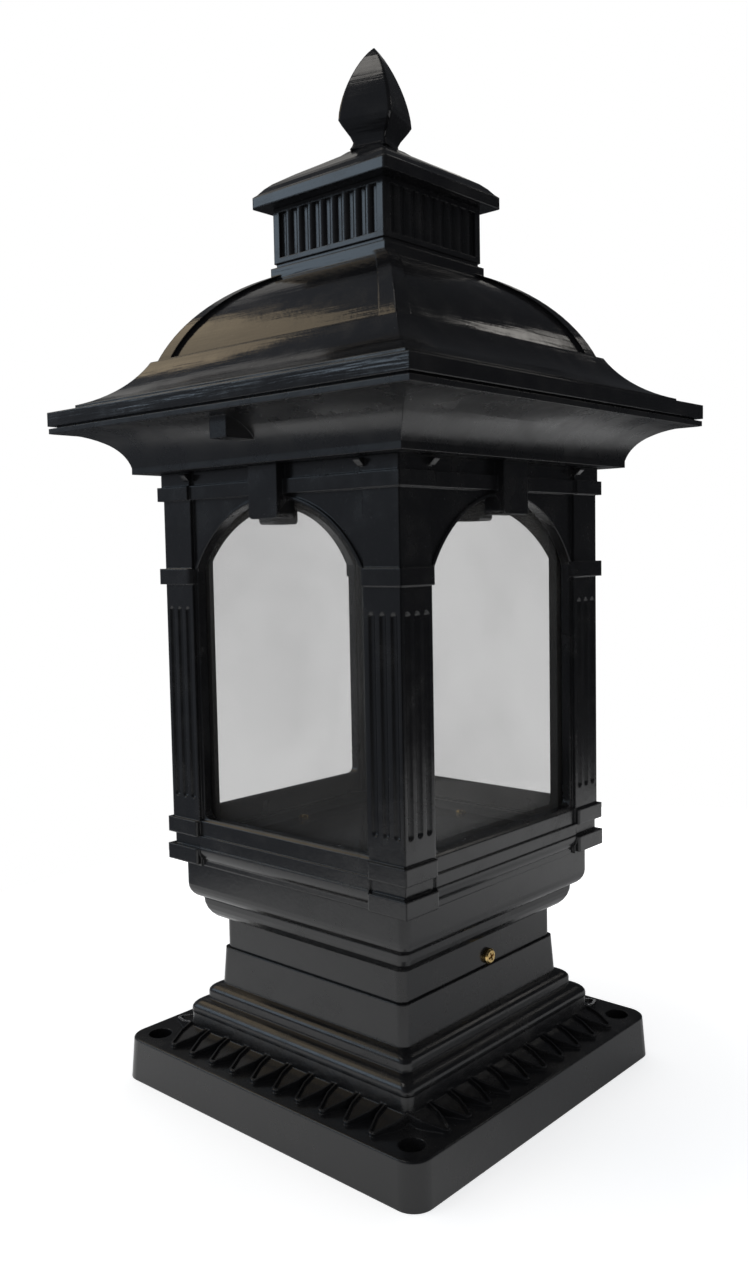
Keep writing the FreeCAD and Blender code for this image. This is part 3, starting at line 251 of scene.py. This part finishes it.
# %% Glass
film_thin = (0.10, 0.096, 0.09)
film_thick = (0.21, 0.205, 0.195)
film_scale = 7.0
glass = Finish("pane_glass", roughness=0.05, specular_ior_level=0.7)
film = glass.between(glass.noise(film_scale, 3.0, 0.55, 0.6), 0.35, 0.75)
glass.set("Base Color", glass.blend(film, film_thin, film_thick))
glass.set("Alpha", 0.15 + film * 0.06)
dress(glass, "glass_front", "glass_right", "glass_back", "glass_left")

# %% [markdown]
# ## Small parts
# Brass screws, zinc-plated steel, rubber, glazed ceramic and cable insulation each get
# their own colour, and a fine grain that suits how they are made.


# %% Small parts
small_edge = 0.0002


def simple(name, low, high, scale, roughness, relief, metallic=0.0):
    """Two-tone finish with fine relief in metres; scale is in waves per metre."""
    finish = Finish(name, metallic=metallic, roughness=roughness)
    tone = finish.noise(scale, 3.0, 0.6)
    finish.set("Base Color", finish.blend(finish.between(tone, 0.3, 0.7), low, high))
    finish.set("Roughness", roughness + (tone - 0.5) * 0.2)
    finish.bump(tone * relief, small_edge)
    return finish


brass = simple("brass", (0.55, 0.36, 0.12), (0.78, 0.58, 0.27), 900.0, 0.26, 0.00006, 1.0)
zinc = simple("zinc_plate", (0.42, 0.42, 0.4), (0.62, 0.62, 0.6), 500.0, 0.34, 0.00005, 1.0)
rubber = simple("rubber", (0.012, 0.012, 0.012), (0.03, 0.03, 0.03), 1200.0, 0.62, 0.00005)
phenolic = simple("phenolic", (0.012, 0.01, 0.009), (0.03, 0.024, 0.02), 300.0, 0.3, 0.00004)
ceramic = simple("ceramic", (0.72, 0.7, 0.65), (0.85, 0.83, 0.79), 250.0, 0.18, 0.00004)
dress(brass, "floor_screws", "neck_screws", "terminal_inserts", "lampholder_shell", "lampholder_contacts")
dress(zinc, "glass_clips", "clip_screws", "ring_screws", "lamp_bracket", "earth_screw", "lamp_tube",
      "lamp_tube_nuts", "wireway_tube", "wireway_nut", "finial_washer", "block_screws")
dress(rubber, "gasket_front", "gasket_right", "gasket_back", "gasket_left", "wire_bush")
dress(phenolic, "lampholder_cap", "lampholder_skirt")
dress(ceramic, "lampholder_core", "terminal_block")
for wire, low, high in (("live", (0.16, 0.06, 0.025), (0.25, 0.1, 0.04)),
                        ("neutral", (0.02, 0.08, 0.38), (0.04, 0.13, 0.5)),
                        ("earth", (0.05, 0.3, 0.05), (0.62, 0.55, 0.06))):
    dress(simple("wire_" + wire, low, high, 120.0, 0.42, 0.00003), "wire_" + wire)

# %% [markdown]
# ## The studio
# Gloss black shows little but what it reflects, so the studio is planned by what each
# face mirrors. A round white table lies under the lantern: the plate, the foot, the
# gallery and the cove mirror it. Past its edge the studio is dim, which keeps the
# upright fluted stiles nearly black. The camera sees white everywhere, apart from the
# soft shadow at the foot. What a reflection sees of the table also glows a little; that
# glow is painted light, and it is less at the lantern's right and back, a painted shade
# where the lantern's own shadow would lie.

# %% Table
table_radius = 0.66
table_x = 0.19
table_y = 0.10
table_sides = 128
painted_shade_centre = (0.14, 0.14, 0.0)
table = Finish("white_table", roughness=0.9, specular_ior_level=0.0, base_color=(0.8, 0.8, 0.8))
rays = table.tree.nodes.new("ShaderNodeLightPath")
seen = Field(table, rays.outputs["Is Camera Ray"])
mirrored = Field(table, rays.outputs["Is Glossy Ray"])
from_axis = table.node("VectorMath", {"operation": "LENGTH"}, {0: table.place()}, out="Value")
whiteness = table.between(from_axis, 0.18, 0.36, 0.58, 1.0)
# Painted light and painted shade: reflections see the table glow, and the glow is weaker towards the
# lantern's right and back, standing in for its shadow there.
from_shade = table.node("VectorMath", {"operation": "DISTANCE"}, {0: table.place(), 1: painted_shade_centre},
                        out="Value")
glow = table.between(from_shade, 0.06, 0.30, 0.05, 0.44)
table.set("Emission Color", (1.0, 1.0, 1.0))
table.set("Emission Strength", seen * whiteness + mirrored * glow)
angles = np.linspace(0, 2 * np.pi, table_sides, endpoint=False)
rim = np.stack([table_x + table_radius * np.cos(angles), table_y + table_radius * np.sin(angles),
                np.zeros(table_sides)], axis=1)
floor_mesh = bpy.data.meshes.new("floor")
floor_mesh.from_pydata(rim.tolist(), [], [tuple(range(table_sides))])
floor_mesh.materials.append(table.material)
floor = bpy.data.objects.new("floor", floor_mesh)
bpy.context.scene.collection.objects.link(floor)
print("table radius in mm", 1000 * table_radius)

# %% [markdown]
# ## The backdrop
# The world is white to the camera and through the panes, and it lights the scene softly
# and evenly. To a reflection it is dim, and a little lighter towards the left front. A
# world that mirrors as white all round would turn the black stiles grey.

# %% World
lit_side = (-0.72, -0.69, 0.05)
lit_from = 0.1
lit_to = 0.9
white_light = (1.0, 1.0, 1.0)
even_light = (0.95, 0.97, 1.0)
dim_light = (0.85, 0.9, 1.0)
side_light = (0.8, 0.87, 1.0)
world = bpy.data.worlds.new("studio")
bpy.context.scene.world = world
world.use_nodes = True
sky = world.node_tree
sky.nodes.clear()


def backdrop(colour, strength):
    """A background of one colour and strength, as a world shader."""
    made = sky.nodes.new("ShaderNodeBackground")
    made.inputs["Color"].default_value = colour + (1.0,)
    made.inputs["Strength"].default_value = strength
    return made.outputs[0]


def choose(factor, first, second):
    """A world shader that goes from first to second with factor."""
    made = sky.nodes.new("ShaderNodeMixShader")
    for place, link in enumerate((factor, first, second)):
        sky.links.new(link, made.inputs[place])
    return made.outputs[0]


path = sky.nodes.new("ShaderNodeLightPath")
clear = sky.nodes.new("ShaderNodeMath")
clear.operation = "MAXIMUM"
sky.links.new(path.outputs["Is Camera Ray"], clear.inputs[0])
sky.links.new(path.outputs["Is Transmission Ray"], clear.inputs[1])
where = sky.nodes.new("ShaderNodeTexCoord")
towards = sky.nodes.new("ShaderNodeVectorMath")
towards.operation = "DOT_PRODUCT"
towards.inputs[1].default_value = lit_side
sky.links.new(where.outputs["Generated"], towards.inputs[0])
lit = sky.nodes.new("ShaderNodeMapRange")
lit.interpolation_type = "SMOOTHSTEP"
lit.inputs["From Min"].default_value = lit_from
lit.inputs["From Max"].default_value = lit_to
sky.links.new(towards.outputs["Value"], lit.inputs["Value"])
mirrored_room = choose(lit.outputs[0], backdrop(dim_light, 0.035), backdrop(side_light, 0.22))
room = choose(path.outputs["Is Glossy Ray"], backdrop(even_light, 0.6), mirrored_room)
whole = choose(clear.outputs[0], room, backdrop(white_light, 1.0))
sky_out = sky.nodes.new("ShaderNodeOutputWorld")
sky.links.new(whole, sky_out.inputs["Surface"])
print("backdrop nodes", len(sky.nodes))

# %% [markdown]
# ## Soft lamps
# On gloss black a lamp is seen as its own mirror image, so each one stands where a face
# mirrors it to the camera: a cool lamp at the left front, level with the cupola; a
# golden one at the left, high up, which gives the dome its bronze streaks; a large weak
# one behind it for the cap; one overhead for the finial; and two narrow ones behind.


# %% Lamps
def lamp(name, place, target, size, radiance, colour):
    """Soft rectangular lamp at place, aimed at target, all in metres.

    Its energy is pi times radiance times area, so radiance 1 is as bright as plain white.
    """
    light = bpy.data.lights.new(name, "AREA")
    light.shape = "RECTANGLE"
    light.size, light.size_y = size
    light.energy = radiance * math.pi * size[0] * size[1]
    light.color = colour
    made = bpy.data.objects.new(name, light)
    bpy.context.scene.collection.objects.link(made)
    made.location = place
    made.rotation_mode = "QUATERNION"
    made.rotation_quaternion = (Vector(target) - Vector(place)).to_track_quat("-Z", "Y")
    print(name, "energy", round(light.energy, 1))


cool = (0.66, 0.83, 1.0)
warm = (1.0, 0.96, 0.9)
gold = (1.0, 0.79, 0.50)
lamp("left_window", (-1.7, -1.75, 1.20), (0, 0, 0.4), (1.5, 0.70), 2.1, cool)
lamp("left_gold", (-1.66, -0.62, 1.70), (0, 0, 0.38), (1.5, 0.6), 1.25, gold)
lamp("left_wall", (-1.45, 1.15, 1.50), (0, 0, 0.4), (1.4, 0.9), 0.24, warm)
lamp("ceiling", (-0.65, -0.65, 2.35), (0, 0, 0.5), (0.8, 0.5), 2.2, warm)
lamp("back_strip", (-1.0, 1.75, 1.32), (0, 0, 0.4), (0.4, 0.16), 0.6, warm)
lamp("right_strip", (0.70, 1.82, 1.62), (0, 0, 0.38), (0.6, 0.16), 2.2, warm)
